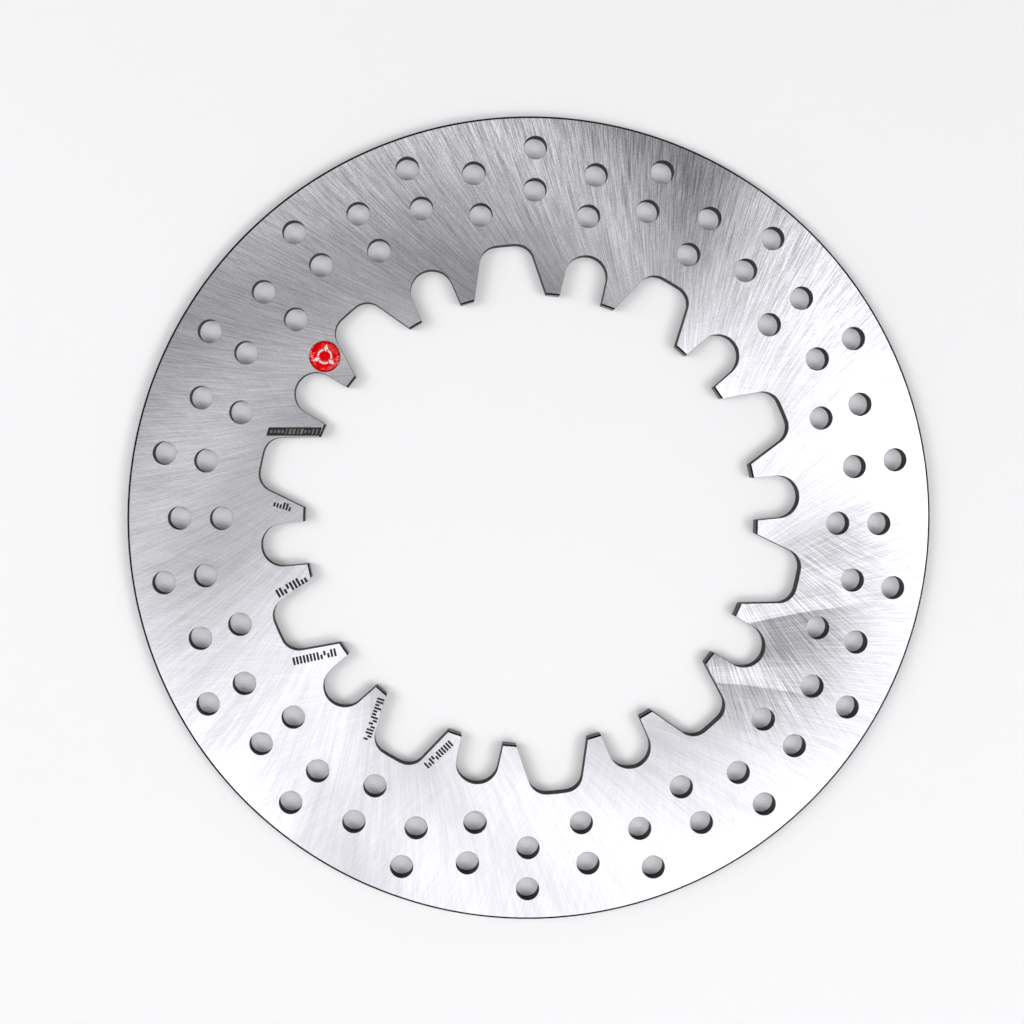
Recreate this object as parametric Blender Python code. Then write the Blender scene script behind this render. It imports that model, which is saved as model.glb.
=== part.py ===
"""Friction ring of a floating motorcycle brake disc, with its round domed badge.

Frame: metres, +Z up. The ring lies on the plane z = 0 with its axis on Z and the origin at the middle of its
lower face. The drilling and the slots are symmetric about one radial line, whose azimuth is SYMMETRY_AZIMUTH.
"""

import math

import bmesh
import bpy

# Ring
OUTER_RADIUS = 0.1525
THICKNESS = 0.0050
RIM_CHAMFER = 0.0005
BORE_RADIUS = 0.0858
BORE_CHAMFER = 0.0006
CHAMFER_DEPTH = 0.0005
SYMMETRY_AZIMUTH = math.radians(149.49)

# Slots: half-round ones seat the bobbins, and flared ones between them only save weight
SLOT_COUNT = 10
SEAT_RADIUS = 0.00813
SEAT_CENTRE_RADIUS = 0.09445
RELIEF_BOTTOM_RADIUS = 0.10465
RELIEF_CORNER_RADIUS = 0.0070
RELIEF_HALF_WIDTH = 0.01007
RELIEF_WIDTH_RADIUS = 0.1000
RELIEF_FLARE = math.radians(13.5)

# Drilling: pairs of holes on one radial line, every second pair set further in
PAIR_COUNT = 36
HOLE_RADIUS = 0.0044
INNER_ROW_RADIUS = 0.1170
ROW_STEP = 0.0079

# Badge
BADGE_RADIUS = 0.0059
BADGE_CENTRE_RADIUS = 0.0997
BADGE_AZIMUTH = SYMMETRY_AZIMUTH - math.radians(7.95)
BOND_GAP = 0.0001
FILM_THICKNESS = 0.0002
DOME_EDGE_HEIGHT = 0.0003
DOME_HEIGHT = 0.0011

# Facets
RIM_SEGMENTS = 180
HOLE_SEGMENTS = 16
SEAT_SEGMENTS = 14
CORNER_SEGMENTS = 5
BADGE_SEGMENTS = 36
DOME_RINGS = 5


def clear_scene():
    for obj in list(bpy.data.objects):
        bpy.data.objects.remove(obj, do_unlink=True)


def surface(name, colour, roughness, metallic=0.0, alpha=1.0):
    material = bpy.data.materials.new(name)
    material.use_nodes = True
    shader = material.node_tree.nodes["Principled BSDF"]
    shader.inputs["Base Color"].default_value = (*colour, 1.0)
    shader.inputs["Roughness"].default_value = roughness
    shader.inputs["Metallic"].default_value = metallic
    shader.inputs["Alpha"].default_value = alpha
    return material


def circle(radius, segments, centre=(0.0, 0.0), start=0.0):
    """Points of a circle, anticlockwise."""
    turn = 2 * math.pi / segments
    return [
        (
            centre[0] + radius * math.cos(start + turn * i),
            centre[1] + radius * math.sin(start + turn * i),
        )
        for i in range(segments)
    ]


def arc(centre, radius, start, end, segments):
    step = (end - start) / segments
    return [
        (
            centre[0] + radius * math.cos(start + step * i),
            centre[1] + radius * math.sin(start + step * i),
        )
        for i in range(segments + 1)
    ]


def turned(points, azimuth):
    """Points drawn about the +X axis, turned to this azimuth."""
    c, s = math.cos(azimuth), math.sin(azimuth)
    return [(x * c - y * s, x * s + y * c) for x, y in points]


def seat_slot(bore_radius):
    """A half-round slot about the +X axis, from the bore at -Y round to the bore at +Y."""
    mouth = math.sqrt(bore_radius**2 - SEAT_RADIUS**2)
    bottom = arc((SEAT_CENTRE_RADIUS, 0.0), SEAT_RADIUS, -math.pi / 2, math.pi / 2, SEAT_SEGMENTS)
    return [(mouth, -SEAT_RADIUS), *bottom, (mouth, SEAT_RADIUS)]


def relief_slot(bore_radius):
    """A flared slot about the +X axis, with a bottom concentric with the ring and rounded corners."""
    slope = math.tan(RELIEF_FLARE)
    # the +Y flank is the line y = offset - slope * x, and a corner's centre lies one corner radius inside it
    offset = RELIEF_HALF_WIDTH + slope * RELIEF_WIDTH_RADIUS
    inner_offset = offset - RELIEF_CORNER_RADIUS / math.cos(RELIEF_FLARE)
    corner = line_meets_circle(inner_offset, slope, RELIEF_BOTTOM_RADIUS - RELIEF_CORNER_RADIUS)
    mouth = line_meets_circle(offset, slope, bore_radius)
    bottom_angle = math.atan2(corner[1], corner[0])
    upper = [
        *arc(corner, RELIEF_CORNER_RADIUS, bottom_angle, math.pi / 2 - RELIEF_FLARE, CORNER_SEGMENTS),
        mouth,
    ]
    lower = [(x, -y) for x, y in reversed(upper)]
    return [*lower, (RELIEF_BOTTOM_RADIUS, 0.0), *upper]


def line_meets_circle(offset, slope, radius):
    """Where y = offset - slope * x crosses the circle of this radius about the origin, at positive x."""
    a = 1 + slope**2
    b = -2 * offset * slope
    c = offset**2 - radius**2
    x = (-b + math.sqrt(b * b - 4 * a * c)) / (2 * a)
    return x, offset - slope * x


def inner_outline(bore_radius):
    """The toothed inner edge, anticlockwise: two slots for each of SLOT_COUNT pitches."""
    pitch = 2 * math.pi / SLOT_COUNT
    points = []
    for i in range(SLOT_COUNT):
        azimuth = SYMMETRY_AZIMUTH + pitch * i
        points += turned(seat_slot(bore_radius), azimuth)
        points += turned(relief_slot(bore_radius), azimuth + pitch / 2)
    return points


def drilled_holes():
    """Outlines of the holes, two to a radial line."""
    outlines = []
    for i in range(PAIR_COUNT):
        azimuth = SYMMETRY_AZIMUTH + 2 * math.pi * i / PAIR_COUNT
        first_row = 1 if i % 2 == 0 else 0
        for row in (first_row, first_row + 2):
            radius = INNER_ROW_RADIUS + ROW_STEP * row
            centre = (radius * math.cos(azimuth), radius * math.sin(azimuth))
            outlines.append(circle(HOLE_RADIUS, HOLE_SEGMENTS, centre, azimuth))
    return outlines


def ring_outlines(rim_radius, bore_radius):
    """Every closed outline of a flat cut through the ring: rim, toothed edge, then the holes."""
    rim = circle(rim_radius, RIM_SEGMENTS, start=SYMMETRY_AZIMUTH)
    return [rim, inner_outline(bore_radius), *drilled_holes()]


def add_loop(bm, points, z):
    """A closed loop of vertices and edges at this height."""
    verts = [bm.verts.new((x, y, z)) for x, y in points]
    edges = [bm.edges.new((verts[i - 1], verts[i])) for i in range(len(verts))]
    return verts, edges


def wall(bm, lower, upper):
    """Quads between two loops with equal numbers of vertices."""
    for i in range(len(lower)):
        bm.faces.new((lower[i - 1], lower[i], upper[i], upper[i - 1]))


def object_from(bm, name, material):
    bmesh.ops.recalc_face_normals(bm, faces=bm.faces)
    mesh = bpy.data.meshes.new(name)
    bm.to_mesh(mesh)
    bm.free()
    mesh.materials.append(material)
    mesh.shade_smooth()
    mesh.set_sharp_from_angle(angle=math.radians(35))
    obj = bpy.data.objects.new(name, mesh)
    bpy.context.scene.collection.objects.link(obj)
    return obj


def friction_ring():
    """The plate in four flat cuts: chamfered rim and bore at both faces, full size between them."""
    face_rim = OUTER_RADIUS - RIM_CHAMFER
    face_bore = BORE_RADIUS + BORE_CHAMFER
    levels = [
        (0.0, face_rim, face_bore),
        (CHAMFER_DEPTH, OUTER_RADIUS, BORE_RADIUS),
        (THICKNESS - CHAMFER_DEPTH, OUTER_RADIUS, BORE_RADIUS),
        (THICKNESS, face_rim, face_bore),
    ]
    bm = bmesh.new()
    cuts = []
    for z, rim_radius, bore_radius in levels:
        cuts.append([add_loop(bm, points, z) for points in ring_outlines(rim_radius, bore_radius)])
    for below, above in zip(cuts, cuts[1:]):
        for (lower, _), (upper, _) in zip(below, above):
            wall(bm, lower, upper)
    for cut in (cuts[0], cuts[-1]):
        edges = [edge for _, loop_edges in cut for edge in loop_edges]
        bmesh.ops.triangle_fill(bm, edges=edges, use_beauty=True, normal=(0.0, 0.0, 1.0))
    steel = surface("ground_steel", (0.60, 0.60, 0.61), 0.32, metallic=1.0)
    return object_from(bm, "friction_ring", steel)


def turned_disc(name, profile, material):
    """A solid of revolution on the badge's axis, from (radius, height) points, lower face first."""
    bm = bmesh.new()
    loops = [add_loop(bm, circle(radius, BADGE_SEGMENTS), z)[0] for radius, z in profile]
    for lower, upper in zip(loops, loops[1:]):
        wall(bm, lower, upper)
    bm.faces.new(loops[0])
    bm.faces.new(loops[-1])
    obj = object_from(bm, name, material)
    obj.location = (
        BADGE_CENTRE_RADIUS * math.cos(BADGE_AZIMUTH),
        BADGE_CENTRE_RADIUS * math.sin(BADGE_AZIMUTH),
        THICKNESS + BOND_GAP,
    )
    return obj


def badge_film():
    profile = [(BADGE_RADIUS, 0.0), (BADGE_RADIUS, FILM_THICKNESS)]
    vinyl = surface("red_vinyl", (0.62, 0.02, 0.02), 0.35)
    return turned_disc("badge_film", profile, vinyl)


def badge_dome():
    """Clear resin: a short upright edge, then a cap of a sphere flattened at its middle."""
    base = FILM_THICKNESS + BOND_GAP
    rise = DOME_HEIGHT - DOME_EDGE_HEIGHT
    sphere_radius = (BADGE_RADIUS**2 + rise**2) / (2 * rise)
    profile = [(BADGE_RADIUS, base)]
    for i in range(DOME_RINGS):
        radius = BADGE_RADIUS * (1 - i / DOME_RINGS)
        drop = sphere_radius - math.sqrt(sphere_radius**2 - radius**2)
        profile.append((radius, base + DOME_HEIGHT - drop))
    resin = surface("clear_resin", (0.80, 0.05, 0.05), 0.05, alpha=0.5)
    return turned_disc("badge_dome", profile, resin)


clear_scene()
friction_ring()
badge_film()
badge_dome()
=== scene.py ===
"""Studio view of a floating brake disc's friction ring: ground faces, drilled and cut walls, domed badge.

Metres, +Z up, ring axis on Z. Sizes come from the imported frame, and from the named values below where the
frame doesn't state them. The drilling and the slots repeat the part's own rules, with finer facets.
"""

import math
import random

import bmesh
import bpy
from mathutils import Matrix, Vector


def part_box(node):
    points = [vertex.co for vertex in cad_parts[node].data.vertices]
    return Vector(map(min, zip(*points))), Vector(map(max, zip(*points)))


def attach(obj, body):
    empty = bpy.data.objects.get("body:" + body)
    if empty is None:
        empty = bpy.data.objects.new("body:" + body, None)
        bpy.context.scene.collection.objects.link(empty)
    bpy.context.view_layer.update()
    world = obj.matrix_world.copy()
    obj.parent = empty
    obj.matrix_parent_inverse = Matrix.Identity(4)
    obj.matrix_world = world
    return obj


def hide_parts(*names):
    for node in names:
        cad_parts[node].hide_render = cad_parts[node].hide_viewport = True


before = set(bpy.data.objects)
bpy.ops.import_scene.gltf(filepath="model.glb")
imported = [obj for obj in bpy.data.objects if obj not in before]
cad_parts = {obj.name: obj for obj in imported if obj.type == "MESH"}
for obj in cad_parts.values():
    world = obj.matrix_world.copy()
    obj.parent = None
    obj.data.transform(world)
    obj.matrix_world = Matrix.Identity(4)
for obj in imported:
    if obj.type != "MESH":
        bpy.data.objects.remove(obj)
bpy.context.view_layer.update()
_, ring_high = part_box("friction_ring")
film_low, film_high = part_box("badge_film")
_, dome_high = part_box("badge_dome")

# Ring, repeated from the part, except that the rim's chamfer is drawn wider
OUTER_RADIUS = ring_high.x
THICKNESS = ring_high.z
RIM_CHAMFER = 0.0008
BORE_RADIUS = 0.0858
BORE_CHAMFER = 0.0006
CHAMFER_DEPTH = 0.0005
SYMMETRY_AZIMUTH = math.radians(149.49)
SLOT_COUNT = 10
SEAT_RADIUS = 0.00813
SEAT_CENTRE_RADIUS = 0.09445
RELIEF_BOTTOM_RADIUS = 0.10465
RELIEF_CORNER_RADIUS = 0.0070
RELIEF_HALF_WIDTH = 0.01007
RELIEF_WIDTH_RADIUS = 0.1000
RELIEF_FLARE = math.radians(13.5)
PAIR_COUNT = 36
HOLE_RADIUS = 0.0044
INNER_ROW_RADIUS = 0.1170
ROW_STEP = 0.0079
DEBURR = 0.00007
RING_SHARP_ANGLE = 25

# Facets of the visible ring
RIM_SEGMENTS = 900
HOLE_SEGMENTS = 56
SEAT_SEGMENTS = 48
CORNER_SEGMENTS = 14
BOTTOM_SEGMENTS = 8
TIP_SEGMENTS = 4

# The face-grinding wheel: its edge leaves arcs of this radius, centred this far from the ring's axis
WHEEL_RADIUS = 0.391
WHEEL_OFFSET = 0.453

# Second grinding pass: (edge phase in degrees, fade ahead of it, radii between which it dies out, cover),
# the edge's softness in degrees, and the share of the fade's length that stays fully covered
OVERLAPS = [(-68.3, 20.0, 0.122, 0.137, 0.75), (-85.3, 9.0, 0.100, 0.132, 0.6)]
OVERLAP_SOFTNESS = 0.15
OVERLAP_FADE_START = 0.4

# Around it both passes show as a hatch: its phases, the degrees over which it fades at both ends, the
# radii between which it dies out, and how much stronger the crossing lines are
HATCHING = (-98.0, -50.0)
HATCHING_FADE = 8.0
HATCHING_REACH = (0.118, 0.137)
HATCHING_STRENGTH = 7.5

# Painted shade: fans in the hatch that the second pass leaves bare, darkened in colour: how much darker, and
# the phases over which they grow from faint
PAINTED_SHADE_DEPTH = 0.16
PAINTED_SHADE_FAINT = 0.3
PAINTED_SHADE_RISE = (-88.0, -80.0)

# Face tones: dark and light ends of the scratches, and how far each size of scratch swings
FACE_TONES = [(0.0, (0.265, 0.255, 0.275)), (0.5, (0.565, 0.555, 0.59)), (1.0, (0.86, 0.85, 0.89))]
FINE_CONTRAST = 0.17
GRAIN_CONTRAST = 0.09
MEDIUM_CONTRAST = 0.03
BROAD_CONTRAST = 0.05
CROSS_CONTRAST = 0.045
CROSS_SHARE = 0.08
FACE_ROUGHNESS = (0.29, 0.32)
SCRATCH_DEPTH = 0.00002
NOISE_PLANE = 0.37

# The fine scratches coarsen across the ring towards this azimuth, more steeply past a share of the radius
COARSE_AZIMUTH = math.radians(82)
COARSENESS = (0.3, 1.5)
STEEP_START = 0.4
STEEP_COARSENESS = 1.8

# Dust: cells per metre, share of cells left clean, speck radii as shares of a cell, and brightness
DUST_CELLS = 110.0
DUST_CLEAN = 0.72
DUST_SPECK = (0.014, 0.026)
DUST_TONE = 0.35

# Scratch sizes: (spacing across the arcs, run along them)
FINE = (0.00028, 0.011)
MEDIUM = (0.0011, 0.020)
BROAD = (0.0045, 0.060)
CROSS = (0.00036, 0.014)
GRAIN_SIZE = 0.00032

# Other surfaces: dark and light ends of their grain
# painted shade: the turned chamfers and tooth tips are near black, for the dark lines they show
PAINTED_SHADE_TURNED_TONES = [(0.3, (0.012, 0.011, 0.012)), (0.7, (0.030, 0.028, 0.029))]
CUT_TONES = [(0.35, (0.022, 0.017, 0.019)), (0.65, (0.080, 0.066, 0.069))]
RED_TONES = [(0.3, (0.32, 0.0008, 0.0012)), (0.7, (0.38, 0.0014, 0.002))]
# painted shade: the darker red that the film fades to at its rim
SHADED_RIM_RED_TONES = [(0.3, (0.12, 0.0004, 0.0006)), (0.7, (0.16, 0.0006, 0.0008))]
INK_TONES = [(0.3, (0.34, 0.31, 0.32)), (0.7, (0.42, 0.39, 0.40))]
OXIDE_TONES = [(0.3, (0.004, 0.0035, 0.004)), (0.7, (0.020, 0.018, 0.018))]
BARE_TONES = [(0.3, (0.08, 0.07, 0.068)), (0.7, (0.24, 0.22, 0.215))]
FLOOR_TONES = [(0.3, (0.766, 0.765, 0.778)), (0.7, (0.780, 0.779, 0.792))]
# painted light: the floor under the drilled rows, paler and bluer than the rest, so the floor seen through
# the holes looks brighter
PAINTED_LIGHT_TONES = [(0.3, (0.850, 0.845, 0.880)), (0.7, (0.865, 0.860, 0.895))]

# Badge
BADGE_CENTRE = (film_low + film_high) / 2
BADGE_RADIUS = (film_high.x - film_low.x) / 2
BADGE_SEGMENTS = 96
BADGE_TURN = math.radians(20)
BADGE_BOND = 0.00002
DOME_EDGE = 0.0003
DOME_RINGS = 24
DOME_FLATNESS = 4
RESIN_IOR = 1.28

# Badge's print, as shares of its radius: where painted shade darkens its rim, and the arcs and lozenges of
# the mark
PAINTED_RIM_SHADE = (0.84, 0.98)
PRINT_ARC_RADII = (0.37, 0.48)
PRINT_ARC_REACH = 0.72
PRINT_ARC_SEGMENTS = 10
PRINT_LOZENGE = [(0.30, 0.0), (0.52, -0.13), (0.80, 0.0), (0.52, 0.13)]

# Laser marks: their gap over the face and their thickness, (start, end, height) of each row of strokes, the
# dark panel with its bars, and the strokes as shares of the row's height: their width, their pitch, and the
# height and lift of each kind
MARK_GAP = 0.000005
MARK_FILM = 0.000010
MARK_ROWS = [
    ((-0.0975, 0.0070), (-0.0904, 0.0047), 0.0027),
    ((-0.0965, -0.0278), (-0.0852, -0.0214), 0.0033),
    ((-0.0906, -0.0533), (-0.0732, -0.0495), 0.0030),
    ((-0.0626, -0.0835), (-0.0569, -0.0671), 0.0028),
    ((-0.0402, -0.0935), (-0.0299, -0.0840), 0.0028),
]
PLATE_LOW = (-0.0997, 0.0322)
PLATE_HIGH = (-0.0797, 0.0354)
PLATE_SLANT = math.radians(17)
PLATE_BARS = 13
PLATE_BAR_LENGTHS = (0.0004, 0.0011)
PLATE_BAR_SHARES = (0.62, 0.62, 0.3)
STROKE_WIDTH = 0.28
STROKE_PITCH = 0.44
STROKE_KINDS = {"full": (1.0, 0.0), "upper": (0.6, 0.2), "lower": (0.6, -0.2)}

# Camera: nearly overhead, off to one side of the ring's axis
CAMERA_FOOT = (-0.03894, 0.02502)
CAMERA_HEIGHT = 0.4605
CAMERA_TILT = (math.radians(1.355), math.radians(-1.225))
CAMERA_LENS = 42.80
CAMERA_SHIFT = (0.0559, -0.0277)

# Light dome: soft panels at (zenith angle, azimuth) in degrees with their power in watts. The north is dim.
DOME_RADIUS = 2.0
SOFTBOX_SIDES = {10: 0.35, 20: 0.40, 28: 0.45, 36: 0.50, 46: 0.55, 58: 0.65}
SOFTBOXES = [
    (10, 0, 1.8),
    (10, 180, 0.67),
    (20, 72, 0.38),
    (20, 144, 0.59),
    (20, 180, 0.63),
    (20, 252, 0.42),
    (20, 288, 1.1),
    (28, 0, 3.1),
    (28, 30, 0.21),
    (28, 90, 0.77),
    (28, 180, 0.33),
    (28, 240, 1.6),
    (28, 330, 0.73),
    (36, 165, 3.9),
    (36, 195, 2.8),
    (36, 255, 2.4),
    (36, 285, 2.8),
    (36, 315, 2.1),
    (36, 345, 2.3),
    (46, 0, 6.5),
    (46, 180, 8.2),
    (46, 270, 1.5),
    (46, 330, 6.7),
    (58, 165, 6.9),
]

# Floor: half its side, its drop below the ring, and the middle radius and half width of its band of painted
# light, paler and bluer, which lies under the drilled rows
FLOOR_REACH = 3.0
FLOOR_DROP = 0.00005
PAINTED_LIGHT_MIDDLE = 0.1290
PAINTED_LIGHT_HALF_WIDTH = 0.017

# Surround: pale up to the low height of the view direction, dim above the high one
SURROUND_LOW = 0.30
SURROUND_HIGH = 0.60
SURROUND_HORIZON = 0.45
SURROUND_ZENITH = 0.02


# ---------------------------------------------------------------- outlines


def circle(radius, segments, centre=(0.0, 0.0), start=0.0):
    """A circle's points, anticlockwise from the start angle."""
    turn = 2 * math.pi / segments
    return [
        (
            centre[0] + radius * math.cos(start + turn * i),
            centre[1] + radius * math.sin(start + turn * i),
        )
        for i in range(segments)
    ]


def arc(centre, radius, start, end, segments):
    """An arc's points from the start angle to the end angle, with both ends."""
    step = (end - start) / segments
    return [
        (
            centre[0] + radius * math.cos(start + step * i),
            centre[1] + radius * math.sin(start + step * i),
        )
        for i in range(segments + 1)
    ]


def turned(points, azimuth):
    """Points drawn about the +X axis, turned to this azimuth."""
    c, s = math.cos(azimuth), math.sin(azimuth)
    return [(x * c - y * s, x * s + y * c) for x, y in points]


def seat_slot(bore_radius, grow):
    """A half-round slot about the +X axis, widened by grow."""
    radius = SEAT_RADIUS + grow
    mouth = math.sqrt(bore_radius**2 - radius**2)
    bottom = arc((SEAT_CENTRE_RADIUS, 0.0), radius, -math.pi / 2, math.pi / 2, SEAT_SEGMENTS)
    return [(mouth, -radius), *bottom, (mouth, radius)]


def line_meets_circle(offset, slope, radius):
    """Where y = offset - slope * x crosses the circle of this radius about the origin, at positive x."""
    a = 1 + slope**2
    b = -2 * offset * slope
    c = offset**2 - radius**2
    x = (-b + math.sqrt(b * b - 4 * a * c)) / (2 * a)
    return x, offset - slope * x


def relief_slot(bore_radius, grow):
    """A flared slot about the +X axis with rounded corners, widened by grow."""
    slope = math.tan(RELIEF_FLARE)
    corner_radius = RELIEF_CORNER_RADIUS + grow
    offset = RELIEF_HALF_WIDTH + slope * RELIEF_WIDTH_RADIUS + grow / math.cos(RELIEF_FLARE)
    inner_offset = offset - corner_radius / math.cos(RELIEF_FLARE)
    corner = line_meets_circle(inner_offset, slope, RELIEF_BOTTOM_RADIUS - RELIEF_CORNER_RADIUS)
    bottom_angle = math.atan2(corner[1], corner[0])
    upper = arc(corner, corner_radius, bottom_angle, math.pi / 2 - RELIEF_FLARE, CORNER_SEGMENTS)
    upper.append(line_meets_circle(offset, slope, bore_radius))
    lower = [(x, -y) for x, y in reversed(upper)]
    bottom = arc((0, 0), RELIEF_BOTTOM_RADIUS + grow, -bottom_angle, bottom_angle, BOTTOM_SEGMENTS)
    return [*lower, *bottom[1:-1], *upper]


def tip(start, end, bore_radius):
    """Points on the bore between two slots' mouths, without its ends."""
    a = math.atan2(start[1], start[0])
    b = math.atan2(end[1], end[0])
    b += 2 * math.pi * (b < a)
    return arc((0.0, 0.0), bore_radius, a, b, TIP_SEGMENTS)[1:-1]


def inner_outline(bore_radius, grow):
    """The toothed inner edge, anticlockwise."""
    pitch = 2 * math.pi / SLOT_COUNT
    slots = []
    for i in range(SLOT_COUNT):
        azimuth = SYMMETRY_AZIMUTH + pitch * i
        slots.append(turned(seat_slot(bore_radius, grow), azimuth))
        slots.append(turned(relief_slot(bore_radius, grow), azimuth + pitch / 2))
    points = []
    for i, slot in enumerate(slots):
        points += slot
        points += tip(slot[-1], slots[(i + 1) % len(slots)][0], bore_radius)
    return points


def hole_places():
    """Centre and azimuth of every drilled hole."""
    places = []
    for i in range(PAIR_COUNT):
        azimuth = SYMMETRY_AZIMUTH + 2 * math.pi * i / PAIR_COUNT
        first_row = 1 if i % 2 == 0 else 0
        for row in (first_row, first_row + 2):
            radius = INNER_ROW_RADIUS + ROW_STEP * row
            places.append(((radius * math.cos(azimuth), radius * math.sin(azimuth)), azimuth))
    return places


def ring_outlines(rim_radius, bore_radius, grow):
    """The rim, the toothed inner edge and the holes, with every opening widened by grow."""
    holes = [circle(HOLE_RADIUS + grow, HOLE_SEGMENTS, centre, turn) for centre, turn in hole_places()]
    return [circle(rim_radius, RIM_SEGMENTS), inner_outline(bore_radius, grow), *holes]


# ---------------------------------------------------------------- mesh helpers


def add_loop(bm, points, z):
    """A closed loop at this height: its vertices and its edges."""
    verts = [bm.verts.new((x, y, z)) for x, y in points]
    edges = [bm.edges.new((verts[i - 1], verts[i])) for i in range(len(verts))]
    return verts, edges


def wall(bm, lower, upper, material=0):
    """The faces between two loops with equally many vertices."""
    for i in range(len(lower)):
        face = bm.faces.new((lower[i - 1], lower[i], upper[i], upper[i - 1]))
        face.material_index = material


def finish_mesh(bm, name, materials, sharp_angle=35):
    """The object made of this mesh, shaded smooth except at edges that turn by more than the sharp angle."""
    bmesh.ops.recalc_face_normals(bm, faces=bm.faces)
    mesh = bpy.data.meshes.new(name)
    bm.to_mesh(mesh)
    bm.free()
    for material in materials:
        mesh.materials.append(material)
    mesh.shade_smooth()
    mesh.set_sharp_from_angle(angle=math.radians(sharp_angle))
    obj = bpy.data.objects.new(name, mesh)
    bpy.context.scene.collection.objects.link(obj)
    return obj


# ---------------------------------------------------------------- node helpers


class Nodes:
    """A material's node tree, with short calls for the nodes used here."""

    def __init__(self, name):
        self.material = bpy.data.materials.new(name)
        self.material.use_nodes = True
        self.tree = self.material.node_tree
        self.shader = self.tree.nodes["Principled BSDF"]

    def link(self, source, target):
        self.tree.links.new(source, target)

    def feed(self, value, target):
        """Links a socket to the target, or sets the target to a plain value."""
        if isinstance(value, bpy.types.NodeSocket):
            self.link(value, target)
        else:
            target.default_value = value

    def add(self, kind, **settings):
        node = self.tree.nodes.new(kind)
        for key, value in settings.items():
            setattr(node, key, value)
        return node

    def math(self, operation, a, b=None, c=None):
        node = self.add("ShaderNodeMath", operation=operation)
        for value, socket in zip((a, b, c), node.inputs):
            if value is not None:
                self.feed(value, socket)
        return node.outputs[0]

    def vector(self, x, y, z):
        node = self.add("ShaderNodeCombineXYZ")
        for value, socket in zip((x, y, z), node.inputs):
            self.feed(value, socket)
        return node.outputs[0]

    def place(self):
        """The point in the row frame: every piece's object coordinates are the frame's."""
        return self.add("ShaderNodeTexCoord").outputs["Object"]

    def length(self, x, y):
        """The distance of (x, y) from the origin."""
        return self.math("SQRT", self.math("ADD", self.math("MULTIPLY", x, x), self.math("MULTIPLY", y, y)))

    def split(self, vector):
        node = self.add("ShaderNodeSeparateXYZ")
        self.link(vector, node.inputs[0])
        return node.outputs

    def noise(self, vector, scale, detail=2.0, roughness=0.5):
        node = self.add("ShaderNodeTexNoise")
        self.link(vector, node.inputs["Vector"])
        node.inputs["Scale"].default_value = scale
        node.inputs["Detail"].default_value = detail
        node.inputs["Roughness"].default_value = roughness
        return node.outputs[0]

    def remap(self, value, low, high, to_low, to_high):
        """The value carried linearly from one range to the other, and held at the ends."""
        node = self.add("ShaderNodeMapRange")
        node.inputs["From Min"].default_value = low
        node.inputs["From Max"].default_value = high
        node.inputs["To Min"].default_value = to_low
        node.inputs["To Max"].default_value = to_high
        self.link(value, node.inputs["Value"])
        return node.outputs["Result"]

    def ramp(self, value, stops):
        """A colour that runs through these (position, colour) stops."""
        node = self.add("ShaderNodeValToRGB")
        self.link(value, node.inputs[0])
        elements = node.color_ramp.elements
        while len(elements) < len(stops):
            elements.new(0.5)
        for element, (position, colour) in zip(elements, stops):
            element.position = position
            element.color = (*colour, 1.0)
        return node.outputs[0]

    def mix(self, factor, a, b):
        """Colour a where the factor is 0, and colour b where it is 1."""
        node = self.add("ShaderNodeMix", data_type="RGBA")
        for value, index in zip((factor, a, b), (0, 6, 7)):
            self.feed(value, node.inputs[index])
        return node.outputs[2]

    def bump(self, height, distance, strength):
        node = self.add("ShaderNodeBump")
        node.inputs["Strength"].default_value = strength
        node.inputs["Distance"].default_value = distance
        self.link(height, node.inputs["Height"])
        return node.outputs[0]


# ---------------------------------------------------------------- materials


def grinding_arcs(n):
    """For the two crossing sets of grinding arcs: (phase, direction angle) sockets.

    Every arc of one set is the same circle turned about the ring's axis, so the phase, the azimuth less the
    arc's own azimuth at this radius, is constant along an arc.
    """
    x, y, _ = n.split(n.place())
    radius = n.length(x, y)
    azimuth = n.math("ARCTAN2", y, x)
    gap = WHEEL_OFFSET**2 - WHEEL_RADIUS**2
    squared = n.math("MULTIPLY", radius, radius)
    reach = n.math("MULTIPLY", radius, 2 * WHEEL_OFFSET)
    cosine = n.math("DIVIDE", n.math("ADD", squared, gap), reach)
    swing = n.math("ARCCOSINE", cosine)
    sine = n.math("SQRT", n.math("SUBTRACT", 1.0, n.math("MULTIPLY", cosine, cosine)))
    slope = n.math("DIVIDE", n.math("SUBTRACT", gap, squared), n.math("MULTIPLY", reach, sine))
    lean = n.math("ARCTANGENT", slope)
    sets = []
    for side in (1.0, -1.0):
        phase = n.math("SUBTRACT", azimuth, n.math("MULTIPLY", swing, side))
        phase = n.math("WRAP", phase, math.pi, -math.pi)
        direction = n.math("ADD", azimuth, n.math("MULTIPLY", lean, side))
        sets.append((phase, direction))
    return radius, sets


def around(n, phase, radius, size):
    """Noise coordinates that change once per spacing across the arcs and once per run along them."""
    spacing, run = size
    mean_radius = (OUTER_RADIUS + BORE_RADIUS) / 2
    return n.vector(
        n.math("MULTIPLY", phase, mean_radius / spacing),
        n.math("MULTIPLY", radius, 1.0 / run),
        NOISE_PLANE,
    )


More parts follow.
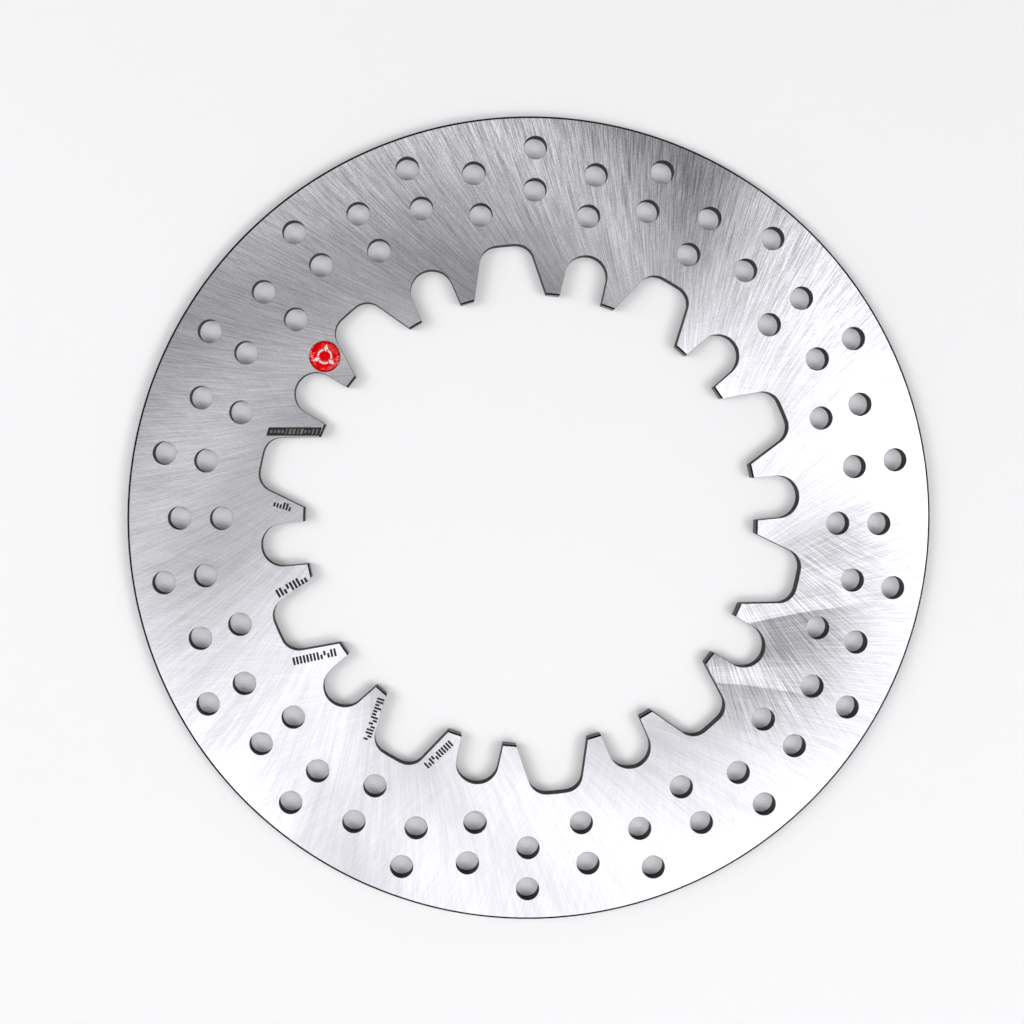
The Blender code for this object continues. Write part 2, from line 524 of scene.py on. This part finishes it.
def ground_steel():
    """Ground face: arcs of fine scratches and a crossing set, each reflecting across its own direction."""
    n = Nodes("ground_face")
    radius, sets = grinding_arcs(n)
    (phase, direction), (cross_phase, cross_direction) = sets
    fine = n.noise(around(n, phase, radius, FINE), 1.0, 3.0, 0.6)
    grain = n.noise(n.place(), 1 / GRAIN_SIZE, 1.0, 0.5)
    medium = n.noise(around(n, phase, radius, MEDIUM), 1.0, 2.0, 0.5)
    broad = n.noise(around(n, phase, radius, BROAD), 1.0, 2.0, 0.5)
    cross = n.noise(around(n, cross_phase, radius, CROSS), 1.0, 2.0, 0.6)
    overlap, hatching, shaded_fans = overlap_masks(n, phase, radius)

    # scratches: light and dark lines, and slow drifts between them, coarser on one side of the ring
    x, y, _ = n.split(n.place())
    along = n.math("MULTIPLY", x, math.cos(COARSE_AZIMUTH) / OUTER_RADIUS)
    along = n.math("ADD", along, n.math("MULTIPLY", y, math.sin(COARSE_AZIMUTH) / OUTER_RADIUS))
    coarseness = n.remap(along, -1.0, 1.0, *COARSENESS)
    steeper = n.remap(along, STEEP_START, 1.0, 1.0, STEEP_COARSENESS)
    coarseness = n.math("MULTIPLY", coarseness, steeper)
    tone = n.remap(fine, 0.35, 0.65, -FINE_CONTRAST, FINE_CONTRAST)
    tone = n.math("ADD", tone, n.remap(grain, 0.3, 0.7, -GRAIN_CONTRAST, GRAIN_CONTRAST))
    tone = n.math("MULTIPLY", tone, coarseness)
    tone = n.math("ADD", tone, n.remap(medium, 0.3, 0.7, -MEDIUM_CONTRAST, MEDIUM_CONTRAST))
    tone = n.math("ADD", tone, n.remap(broad, 0.3, 0.7, -BROAD_CONTRAST, BROAD_CONTRAST))
    lines = n.remap(cross, 0.35, 0.65, -CROSS_CONTRAST, CROSS_CONTRAST)
    stronger = n.remap(hatching, 0.0, 1.0, 1.0, HATCHING_STRENGTH)
    tone = n.math("ADD", tone, n.math("MULTIPLY", lines, stronger))
    # painted shade: the bare fans are darkened in colour
    tone = n.math("SUBTRACT", tone, n.math("MULTIPLY", shaded_fans, PAINTED_SHADE_DEPTH))
    tone = n.math("ADD", tone, dust(n))
    colour = n.ramp(n.remap(tone, -0.5, 0.5, 0.0, 1.0), FACE_TONES)
    roughness = n.remap(broad, 0.3, 0.7, *FACE_ROUGHNESS)
    height = n.math("ADD", n.math("MULTIPLY", fine, 0.6), n.math("MULTIPLY", cross, 0.4))
    normal = n.bump(height, SCRATCH_DEPTH, 0.8)

    # one shader for each set of scratches; where a second pass laps over the first, its scratches take over
    shaders = [n.shader, n.add("ShaderNodeBsdfPrincipled")]
    for shader, angle in zip(shaders, (direction, cross_direction)):
        across = n.vector(n.math("MULTIPLY", n.math("SINE", angle), -1.0), n.math("COSINE", angle), 0.0)
        n.link(across, shader.inputs["Tangent"])
        n.link(colour, shader.inputs["Base Color"])
        n.link(roughness, shader.inputs["Roughness"])
        n.link(normal, shader.inputs["Normal"])
        shader.inputs["Metallic"].default_value = 1.0
        shader.inputs["Anisotropic"].default_value = 1.0
    both = n.add("ShaderNodeMixShader")
    n.link(n.remap(overlap, 0.0, 1.0, CROSS_SHARE, 1.0), both.inputs[0])
    n.link(shaders[0].outputs[0], both.inputs[1])
    n.link(shaders[1].outputs[0], both.inputs[2])
    n.link(both.outputs[0], n.tree.nodes["Material Output"].inputs["Surface"])
    return n.material


def overlap_masks(n, phase, radius):
    """Three masks: where the second pass covers the first, each patch sharp along one arc and fading ahead
    of it; the wider zone where both passes show as a hatch; and the fans left bare in that zone, where shade
    is painted into the colour."""
    degrees = n.math("MULTIPLY", phase, 180 / math.pi)
    overlap = 0.0
    for edge, fade, inner, outer, cover in OVERLAPS:
        start = n.remap(degrees, edge - OVERLAP_SOFTNESS, edge + OVERLAP_SOFTNESS, 0.0, 1.0)
        end = n.remap(degrees, edge + OVERLAP_FADE_START * fade, edge + fade, 1.0, 0.0)
        reach = n.remap(radius, inner, outer, cover, 0.0)
        patch = n.math("MULTIPLY", n.math("MULTIPLY", start, end), reach)
        overlap = n.math("MAXIMUM", overlap, patch)
    low = n.remap(degrees, HATCHING[0], HATCHING[0] + HATCHING_FADE, 0.0, 1.0)
    high = n.remap(degrees, HATCHING[1] - HATCHING_FADE, HATCHING[1], 1.0, 0.0)
    reach = n.remap(radius, *HATCHING_REACH, 1.0, 0.0)
    hatching = n.math("MULTIPLY", n.math("MULTIPLY", low, high), reach)
    shaded_fans = n.math("MULTIPLY", hatching, n.math("SUBTRACT", 1.0, overlap))
    shaded_fans = n.math("MULTIPLY", shaded_fans, n.remap(degrees, *PAINTED_SHADE_RISE, PAINTED_SHADE_FAINT, 1.0))
    return overlap, hatching, shaded_fans


def dust(n):
    """A few light specks, each a fraction of a millimetre across."""
    cells = n.add("ShaderNodeTexVoronoi")
    n.link(n.place(), cells.inputs["Vector"])
    cells.inputs["Scale"].default_value = DUST_CELLS
    speck = n.remap(cells.outputs["Distance"], *DUST_SPECK, DUST_TONE, 0.0)
    draw = n.add("ShaderNodeSeparateColor")
    n.link(cells.outputs["Color"], draw.inputs[0])
    chosen = n.math("GREATER_THAN", draw.outputs[0], DUST_CLEAN)
    return n.math("MULTIPLY", speck, chosen)


def turned_steel():
    """Turned chamfers: smooth, with faint rings, and painted near black as shade."""
    n = Nodes("turned_edge")
    x, y, z = n.split(n.place())
    radius = n.length(x, y)
    rings = n.noise(n.vector(radius, z, 0.0), 12000.0, 2.0)
    n.link(n.remap(rings, 0.3, 0.7, 0.18, 0.34), n.shader.inputs["Roughness"])
    n.link(n.ramp(rings, PAINTED_SHADE_TURNED_TONES), n.shader.inputs["Base Color"])
    n.shader.inputs["Metallic"].default_value = 1.0
    return n.material


def cut_steel():
    """Drilled and laser-cut walls: dull, browned by heat, with striations down the wall."""
    n = Nodes("cut_wall")
    x, y, z = n.split(n.place())
    streaks = n.noise(n.vector(x, y, n.math("MULTIPLY", z, 0.08)), 3200.0, 3.0, 0.6)
    stain = n.noise(n.place(), 160.0, 2.0, 0.5)
    tone = n.math("ADD", n.math("MULTIPLY", streaks, 0.6), n.math("MULTIPLY", stain, 0.4))
    n.link(n.ramp(tone, CUT_TONES), n.shader.inputs["Base Color"])
    n.link(n.remap(streaks, 0.3, 0.7, 0.5, 0.7), n.shader.inputs["Roughness"])
    n.link(n.bump(streaks, 0.00003, 0.5), n.shader.inputs["Normal"])
    n.shader.inputs["Metallic"].default_value = 0.3
    n.shader.inputs["Specular IOR Level"].default_value = 0.1
    return n.material


def red_vinyl():
    """Printed film: deep red, with painted shade darkening it towards its rim."""
    n = Nodes("red_print")
    grain = n.noise(n.place(), 5000.0, 3.0, 0.6)
    red = n.ramp(grain, RED_TONES)
    shaded_red = n.ramp(grain, SHADED_RIM_RED_TONES)
    x, y, _ = n.split(n.place())
    dx = n.math("SUBTRACT", x, BADGE_CENTRE.x)
    dy = n.math("SUBTRACT", y, BADGE_CENTRE.y)
    radius = n.length(dx, dy)
    rim = n.remap(radius, *(share * BADGE_RADIUS for share in PAINTED_RIM_SHADE), 0.0, 1.0)
    # painted shade: the red darkens towards the rim
    n.link(n.mix(rim, red, shaded_red), n.shader.inputs["Base Color"])
    n.link(n.remap(grain, 0.3, 0.7, 0.40, 0.52), n.shader.inputs["Roughness"])
    n.shader.inputs["Specular IOR Level"].default_value = 0.0
    return n.material


def silver_ink():
    """The badge's pale mark."""
    n = Nodes("silver_ink")
    grain = n.noise(n.place(), 6000.0, 3.0, 0.6)
    n.link(n.ramp(grain, INK_TONES), n.shader.inputs["Base Color"])
    n.link(n.remap(grain, 0.3, 0.7, 0.25, 0.4), n.shader.inputs["Roughness"])
    return n.material


def clear_resin():
    """The badge's dome, with a faint ripple."""
    n = Nodes("resin")
    ripple = n.noise(n.place(), 500.0, 1.0)
    n.link(n.bump(ripple, 0.00001, 0.2), n.shader.inputs["Normal"])
    n.shader.inputs["Base Color"].default_value = (1.0, 0.97, 0.97, 1.0)
    n.shader.inputs["Roughness"].default_value = 0.03
    n.shader.inputs["IOR"].default_value = RESIN_IOR
    n.shader.inputs["Transmission Weight"].default_value = 1.0
    return n.material


def laser_oxide():
    """Annealed marks: near black, a little uneven."""
    n = Nodes("laser_oxide")
    grain = n.noise(n.place(), 4000.0, 3.0, 0.7)
    n.link(n.ramp(grain, OXIDE_TONES), n.shader.inputs["Base Color"])
    n.link(n.remap(grain, 0.3, 0.7, 0.55, 0.75), n.shader.inputs["Roughness"])
    n.shader.inputs["Specular IOR Level"].default_value = 0.25
    return n.material


def bare_bars():
    """Metal left bare between laser marks: duller than the face."""
    n = Nodes("bare_bars")
    grain = n.noise(n.place(), 5000.0, 3.0, 0.7)
    n.link(n.ramp(grain, BARE_TONES), n.shader.inputs["Base Color"])
    n.link(n.remap(grain, 0.3, 0.7, 0.40, 0.60), n.shader.inputs["Roughness"])
    n.shader.inputs["Metallic"].default_value = 1.0
    return n.material


def pale_floor():
    """Matt white paper, with painted light: paler and bluer in a band under the drilled rows, where only the
    holes show it.
    """
    n = Nodes("pale_floor")
    x, y, _ = n.split(n.place())
    radius = n.length(x, y)
    away = n.math("ABSOLUTE", n.math("SUBTRACT", radius, PAINTED_LIGHT_MIDDLE))
    outside = n.remap(away, PAINTED_LIGHT_HALF_WIDTH - 0.001, PAINTED_LIGHT_HALF_WIDTH + 0.001, 0.0, 1.0)
    cloud = n.noise(n.place(), 3.0, 2.0)
    plain = n.ramp(cloud, FLOOR_TONES)
    # painted light: paler, bluer floor in the band under the drilled rows
    painted_light = n.ramp(cloud, PAINTED_LIGHT_TONES)
    n.link(n.mix(outside, painted_light, plain), n.shader.inputs["Base Color"])
    n.shader.inputs["Roughness"].default_value = 0.9
    return n.material


# ---------------------------------------------------------------- pieces


# Material slots of the ring
GROUND, TURNED, CUT = 0, 1, 2


def friction_ring():
    """The ring in flat cuts: face, end of the deburred edges, end of the turned chamfers, and mirrored."""
    turn_at_deburr = DEBURR / CHAMFER_DEPTH
    half = []
    for z, part_cut, grow in ((0.0, 0.0, DEBURR), (DEBURR, turn_at_deburr, 0.0), (CHAMFER_DEPTH, 1.0, 0.0)):
        rim = OUTER_RADIUS - RIM_CHAMFER * (1 - part_cut)
        bore = BORE_RADIUS + BORE_CHAMFER * (1 - part_cut)
        half.append((z, rim, bore, grow))
    levels = half + [(THICKNESS - z, rim, bore, grow) for z, rim, bore, grow in reversed(half)]
    bm = bmesh.new()
    cuts = []
    for z, rim, bore, grow in levels:
        cuts.append([add_loop(bm, points, z) for points in ring_outlines(rim, bore, grow)])
    for number, (below, above) in enumerate(zip(cuts, cuts[1:])):
        chamfer = number != len(half) - 1
        for which, ((lower, _), (upper, _)) in enumerate(zip(below, above)):
            wall(bm, lower, upper, TURNED if which == 0 and chamfer else CUT)
    for cut in (cuts[0], cuts[-1]):
        edges = [edge for _, loop_edges in cut for edge in loop_edges]
        filled = bmesh.ops.triangle_fill(bm, edges=edges, use_beauty=True, normal=(0.0, 0.0, 1.0))
        for face in filled["geom"]:
            if isinstance(face, bmesh.types.BMFace):
                face.material_index = GROUND
    for face in bm.faces:
        if face.material_index == CUT and bore_face(face):
            face.material_index = TURNED
    ring = finish_mesh(bm, "ring", [ground_steel(), turned_steel(), cut_steel()], RING_SHARP_ANGLE)
    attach(ring, "root")
    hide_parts("friction_ring")


def bore_face(face):
    """True on the teeth's turned tips: every corner lies on the bore or its chamfer."""
    limit = BORE_RADIUS + BORE_CHAMFER + 0.00001
    return all(math.hypot(v.co.x, v.co.y) < limit for v in face.verts) and len(face.verts) == 4


def turned_disc(name, profile, material, sharp_angle=35):
    """A solid of revolution on the badge's axis, from (radius, height) points, lower face first."""
    bm = bmesh.new()
    loops = []
    for radius, z in profile:
        loops.append(add_loop(bm, circle(radius, BADGE_SEGMENTS, BADGE_CENTRE[:2]), z)[0])
    for lower, upper in zip(loops, loops[1:]):
        wall(bm, lower, upper)
    bm.faces.new(loops[0])
    bm.faces.new(loops[-1])
    return finish_mesh(bm, name, [material], sharp_angle)


def badge():
    """Printed film on the face, its pale mark, and the clear dome over both."""
    film_base = THICKNESS + BADGE_BOND
    film_top = film_base + (film_high.z - film_low.z)
    film = turned_disc("badge_print", [(BADGE_RADIUS, film_base), (BADGE_RADIUS, film_top)], red_vinyl())
    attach(film, "root")
    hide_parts("badge_film")

    mark_top = film_top + BADGE_BOND
    mark = badge_mark(film_top + BADGE_BOND / 2, mark_top)
    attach(mark, "root")

    base = mark_top + BADGE_BOND / 2
    rise = dome_high.z - base - DOME_EDGE
    profile = [(BADGE_RADIUS, base)]
    for i in range(DOME_RINGS):
        share = 1 - i / DOME_RINGS
        profile.append((BADGE_RADIUS * share, dome_high.z - rise * share**DOME_FLATNESS))
    dome = turned_disc("badge_resin", profile, clear_resin(), 60)
    dome.visible_shadow = False
    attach(dome, "root")
    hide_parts("badge_dome")


def badge_mark(bottom, top):
    """An abstract mark: three thin arcs with a lozenge in each gap."""
    bm = bmesh.new()
    outlines = []
    for i in range(3):
        middle = BADGE_TURN + 2 * math.pi * i / 3
        start, end = middle - PRINT_ARC_REACH, middle + PRINT_ARC_REACH
        inner_radius, outer_radius = (share * BADGE_RADIUS for share in PRINT_ARC_RADII)
        outer = arc((0.0, 0.0), outer_radius, start, end, PRINT_ARC_SEGMENTS)
        inner = arc((0.0, 0.0), inner_radius, end, start, PRINT_ARC_SEGMENTS)
        outlines.append(outer + inner)
        lozenge = [(x * BADGE_RADIUS, y * BADGE_RADIUS) for x, y in PRINT_LOZENGE]
        outlines.append(turned(lozenge, middle + math.pi / 3))
    for outline in outlines:
        placed = [(BADGE_CENTRE.x + x, BADGE_CENTRE.y + y) for x, y in outline]
        low, _ = add_loop(bm, placed, bottom)
        high, _ = add_loop(bm, placed, top)
        wall(bm, low, high)
        bm.faces.new(low)
        bm.faces.new(high)
    return finish_mesh(bm, "badge_mark", [silver_ink()])


def stroke(bm, centre, angle, length, height, slant=0.0):
    """A thin block on the face, its length along the reading direction; slant leans its ends."""
    c, s = math.cos(angle), math.sin(angle)
    lean = height / 2 * math.tan(slant)
    corners = [
        (-length / 2 - lean, -height / 2),
        (length / 2 - lean, -height / 2),
        (length / 2 + lean, height / 2),
        (-length / 2 + lean, height / 2),
    ]
    placed = [(centre[0] + x * c - y * s, centre[1] + x * s + y * c) for x, y in corners]
    low, _ = add_loop(bm, placed, THICKNESS + MARK_GAP)
    high, _ = add_loop(bm, placed, THICKNESS + MARK_GAP + MARK_FILM)
    wall(bm, low, high)
    bm.faces.new(low)
    bm.faces.new(high)


def laser_rows():
    """Rows of plain strokes where the real disc carries its codes. They spell nothing."""
    bm = bmesh.new()
    rng = random.Random(11)
    for (x0, y0), (x1, y1), height in MARK_ROWS:
        angle = math.atan2(y1 - y0, x1 - x0)
        length = math.hypot(x1 - x0, y1 - y0)
        pitch = STROKE_PITCH * height
        for i in range(round(length / pitch)):
            kind = rng.choice(("full", "full", "upper", "lower"))
            along = (i + 0.5) * pitch
            tall, up = (share * height for share in STROKE_KINDS[kind])
            centre = (
                x0 + along * math.cos(angle) - up * math.sin(angle),
                y0 + along * math.sin(angle) + up * math.cos(angle),
            )
            stroke(bm, centre, angle, STROKE_WIDTH * height, tall)
    marks = finish_mesh(bm, "laser_rows", [laser_oxide()])
    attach(marks, "root")


def laser_plate():
    """A dark panel with a hatch of pale slanted bars, where the real disc carries a name."""
    bm = bmesh.new()
    (left, bottom), (right, top) = PLATE_LOW, PLATE_HIGH
    middle = ((left + right) / 2, (bottom + top) / 2)
    stroke(bm, middle, 0.0, right - left, top - bottom, PLATE_SLANT)
    panel = finish_mesh(bm, "laser_plate", [laser_oxide()])
    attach(panel, "root")
    bm = bmesh.new()
    rng = random.Random(5)
    for i in range(PLATE_BARS):
        x = left + (right - left) * (i + 1.0) / (PLATE_BARS + 1)
        length = rng.uniform(*PLATE_BAR_LENGTHS)
        tall = rng.choice(PLATE_BAR_SHARES) * (top - bottom)
        stroke(bm, (x, middle[1]), 0.0, length, tall, PLATE_SLANT)
    # the bars lie over the panel
    for vert in bm.verts:
        vert.co.z += 2 * MARK_FILM
    bars = finish_mesh(bm, "laser_plate_bars", [bare_bars()])
    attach(bars, "root")


# ---------------------------------------------------------------- stage, camera, light


def studio_floor():
    """A wide sheet of paper just under the ring."""
    bm = bmesh.new()
    sides = ((-1, -1), (1, -1), (1, 1), (-1, 1))
    bm.faces.new([bm.verts.new((x * FLOOR_REACH, y * FLOOR_REACH, -FLOOR_DROP)) for x, y in sides])
    floor = finish_mesh(bm, "studio_floor", [pale_floor()])


def camera():
    """The photograph's viewpoint, framed by the lens's shift."""
    data = bpy.data.cameras.new("camera")
    data.lens = CAMERA_LENS
    data.sensor_width = 36.0
    data.shift_x, data.shift_y = CAMERA_SHIFT
    obj = bpy.data.objects.new("camera", data)
    bpy.context.scene.collection.objects.link(obj)
    axis = Vector((CAMERA_TILT[0], CAMERA_TILT[1], 0.0))
    # the tilt turns the world seen by a camera that looks straight down
    flip = Matrix.Diagonal((1.0, -1.0, -1.0))
    seen = Matrix.Rotation(axis.length, 3, axis.normalized()) @ flip
    pose = (flip @ seen).transposed().to_4x4()
    pose.translation = (*CAMERA_FOOT, THICKNESS + CAMERA_HEIGHT)
    obj.matrix_world = pose
    bpy.context.scene.camera = obj


def softbox(name, zenith, azimuth, side, power):
    """A square panel on the light dome, facing the ring's centre."""
    data = bpy.data.lights.new(name, "AREA")
    data.shape = "SQUARE"
    data.size = side
    data.energy = power
    obj = bpy.data.objects.new(name, data)
    bpy.context.scene.collection.objects.link(obj)
    zenith, azimuth = math.radians(zenith), math.radians(azimuth)
    level = math.sin(zenith)
    out = Vector((level * math.cos(azimuth), level * math.sin(azimuth), math.cos(zenith)))
    obj.location = out * DOME_RADIUS
    obj.rotation_euler = out.to_track_quat("Z", "Y").to_euler()


def studio_light():
    """The surround, and the panels of the light dome."""
    world = bpy.data.worlds.new("studio_surround")
    bpy.context.scene.world = world
    world.use_nodes = True
    tree = world.node_tree
    place = tree.nodes.new("ShaderNodeTexCoord")
    split = tree.nodes.new("ShaderNodeSeparateXYZ")
    fade = tree.nodes.new("ShaderNodeMapRange")
    fade.inputs["From Min"].default_value = SURROUND_LOW
    fade.inputs["From Max"].default_value = SURROUND_HIGH
    fade.inputs["To Min"].default_value = SURROUND_HORIZON
    fade.inputs["To Max"].default_value = SURROUND_ZENITH
    background = tree.nodes["Background"]
    background.inputs["Color"].default_value = (1.0, 1.0, 1.0, 1.0)
    tree.links.new(place.outputs["Generated"], split.inputs[0])
    tree.links.new(split.outputs["Z"], fade.inputs["Value"])
    tree.links.new(fade.outputs["Result"], background.inputs["Strength"])
    for number, (zenith, azimuth, power) in enumerate(SOFTBOXES):
        softbox(f"softbox_{number}", zenith, azimuth, SOFTBOX_SIDES[zenith], power)


friction_ring()
laser_rows()
laser_plate()
badge()
studio_floor()
camera()
studio_light()
bpy.context.scene.view_settings.view_transform = "Standard"
